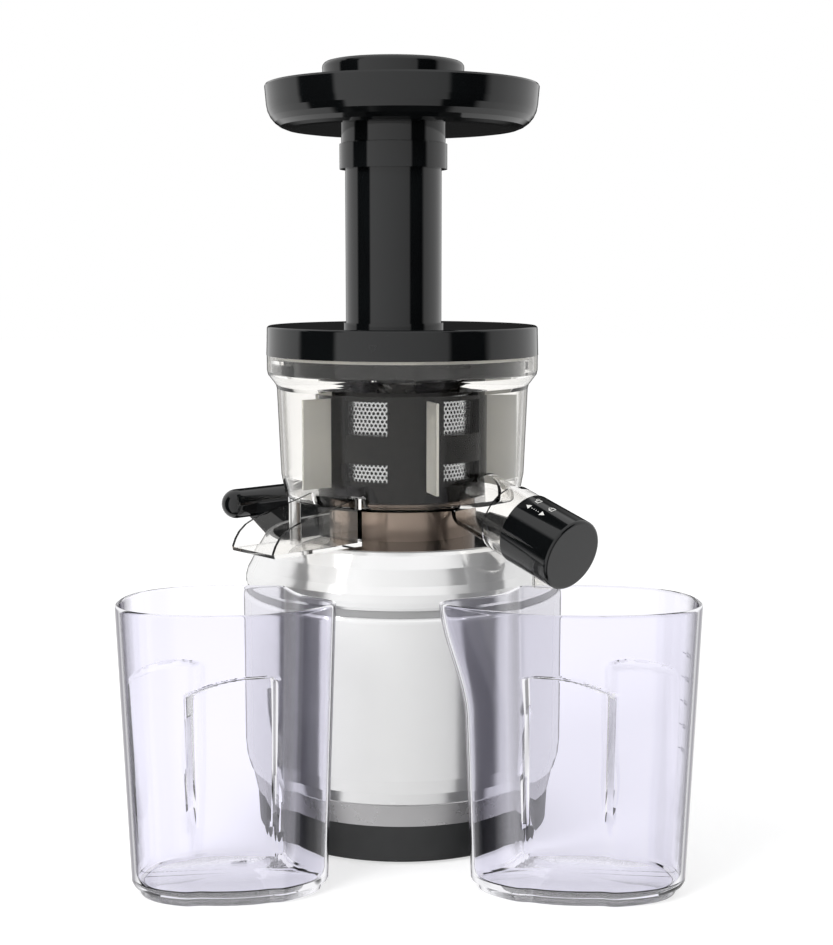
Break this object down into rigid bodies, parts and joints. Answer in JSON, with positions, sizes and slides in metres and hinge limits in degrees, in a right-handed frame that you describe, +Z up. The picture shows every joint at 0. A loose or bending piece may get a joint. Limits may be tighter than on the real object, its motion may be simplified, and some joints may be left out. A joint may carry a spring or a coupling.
{
  "type": "slow juicer",
  "caption": "Upright cold press juicer with a white motor body, a clear bowl with a dark brush cage, a juice spout and pulp trough, a tall feed chute with a round tray, and two clear jugs.",
  "frame": {"origin": "on the table, under the drive shaft's axis", "axes": "+Z up along the drive shaft; the juice spout points to -Y, the pulp trough to -X and the carrying handle to +Y"},
  "size_m": [0.2754, 0.3105, 0.4114],
  "materials": {
    "white_gloss": "pearl silver-white lacquer with a high gloss",
    "black_gloss": "moulded black plastic with a high gloss",
    "black_satin": "black plastic with a satin surface",
    "grey_satin": "grey plastic with a satin surface",
    "clear_plastic": "clear plastic",
    "smoke_plastic": "dark brown translucent plastic",
    "auger_plastic": "dark tough plastic",
    "gear_plastic": "cream engineering plastic",
    "steel": "plain steel",
    "sheet_steel": "pressed sheet steel",
    "iron": "stacked iron sheets",
    "copper": "enamelled copper wire",
    "aluminium": "drawn can",
    "cast_grey": "glass-filled plastic",
    "circuit": "circuit board with parts",
    "silicone": "soft pale silicone",
    "rubber_black": "soft black rubber"
  },
  "bodies": {
    "base": {"foot_ring": "rubber_black", "base_pan": "black_satin", "pan_screws": "steel", "trim_ring": "grey_satin", "lower_housing": "white_gloss", "groove_ring": "black_satin", "upper_housing": "white_gloss", "deck_plate": "black_gloss", "dock_collar": "black_gloss", "shaft_seal": "rubber_black", "handle_grip": "black_gloss", "handle_screws": "steel", "switch_bezel": "black_satin", "cord_gland": "rubber_black", "interlock_switch": "black_satin", "circuit_board": "circuit", "run_capacitor": "aluminium", "motor_plate": "sheet_steel", "motor_can": "sheet_steel", "stator_core": "iron", "stator_windings": "copper", "rotor_bearings": "steel", "gear_axle": "steel", "gearbox_cover": "cast_grey", "gearbox_screws": "steel", "shaft_bearing": "steel"},
    "rocker": {"switch_rocker": "black_satin"},
    "interlock": {"interlock_pin": "white_gloss"},
    "rotor": {"rotor_shaft": "steel", "rotor_core": "iron", "cooling_fan": "black_satin"},
    "compound": {"compound_gear": "gear_plastic"},
    "drive": {"output_gear": "steel", "drive_shaft": "steel"},
    "bowl_set": {"bowl": "clear_plastic", "bowl_gasket": "silicone", "juice_spout": "clear_plastic", "pulp_trough": "clear_plastic", "idler_pin": "steel", "strainer_frame": "smoke_plastic", "strainer_mesh": "steel"},
    "idler": {"idler_gear": "gear_plastic"},
    "brush": {"brush_cage": "smoke_plastic", "wiper_blades": "silicone"},
    "auger": {"auger_screw": "auger_plastic", "auger_hub": "gear_plastic", "auger_pin": "steel"},
    "spout_cap": {"juice_cap": "black_gloss", "cap_seal": "silicone", "drip_nozzle": "clear_plastic"},
    "lid_set": {"lid": "black_gloss", "lid_seal": "silicone"},
    "hopper": {"hopper_tray": "black_gloss"},
    "pusher": {"pusher_cap": "black_gloss", "pusher_stem": "black_satin"},
    "pulp_jug": {"pulp_jug": "clear_plastic"},
    "juice_jug": {"juice_jug": "clear_plastic"}
  },
  "joints": [
    {"name": "drive_turn", "type": "hinge", "parent": "base", "child": "drive", "pos_m": [0, 0, 0.096], "axis": [0, 0, 1], "continuous": true},
    {"name": "compound_turn", "type": "hinge", "parent": "base", "child": "compound", "pos_m": [0, 0.0375, 0.09], "axis": [0, 0, 1], "continuous": true},
    {"name": "rotor_turn", "type": "hinge", "parent": "base", "child": "rotor", "pos_m": [0, 0.0087, 0.05], "axis": [0, 0, 1], "continuous": true},
    {"name": "switch_rock", "type": "hinge", "parent": "base", "child": "rocker", "pos_m": [0.0845, 0, 0.06], "axis": [0, 1, 0], "range_deg": [-10, 10]},
    {"name": "interlock_press", "type": "slide", "parent": "base", "child": "interlock", "axis": [0, 0, 1], "range_m": [-0.003, 0], "stiffness_N_per_m": 400},
    {"name": "bowl_lift", "type": "slide", "parent": "base", "child": "bowl_set", "axis": [0, 0, 1], "range_m": [0, 0.08]},
    {"name": "auger_turn", "type": "hinge", "parent": "bowl_set", "child": "auger", "pos_m": [0, 0, 0.21], "axis": [0, 0, 1], "continuous": true},
    {"name": "idler_turn", "type": "hinge", "parent": "bowl_set", "child": "idler", "pos_m": [-0.01949, 0.01125, 0.187], "axis": [0, 0, 1], "continuous": true},
    {"name": "brush_turn", "type": "hinge", "parent": "bowl_set", "child": "brush", "pos_m": [0, 0, 0.21], "axis": [0, 0, 1], "continuous": true},
    {"name": "cap_turn", "type": "hinge", "parent": "bowl_set", "child": "spout_cap", "pos_m": [0, 0, 0.203], "axis": [0, -0.9568, -0.2907], "range_deg": [0, 90]},
    {"name": "lid_turn", "type": "hinge", "parent": "bowl_set", "child": "lid_set", "pos_m": [0, 0, 0.26], "axis": [0, 0, 1], "range_deg": [0, 25]},
    {"name": "tray_lift", "type": "slide", "parent": "lid_set", "child": "hopper", "axis": [0, 0, 1], "range_m": [0, 0.05]},
    {"name": "pusher_lift", "type": "slide", "parent": "hopper", "child": "pusher", "axis": [0, 0, 1], "range_m": [0, 0.12]},
    {"name": "pulp_jug_pull", "type": "slide", "parent": "base", "child": "pulp_jug", "axis": [-1, 0, 0], "range_m": [0, 0.12]},
    {"name": "juice_jug_pull", "type": "slide", "parent": "base", "child": "juice_jug", "axis": [0, -1, 0], "range_m": [0, 0.12]}
  ],
  "couplings": [
    {"joint": "compound_turn", "follows": "drive_turn", "ratio": -4},
    {"joint": "rotor_turn", "follows": "drive_turn", "ratio": 20},
    {"joint": "auger_turn", "follows": "drive_turn", "ratio": 1},
    {"joint": "idler_turn", "follows": "drive_turn", "ratio": -1.5},
    {"joint": "brush_turn", "follows": "drive_turn", "ratio": -0.42857}
  ]
}
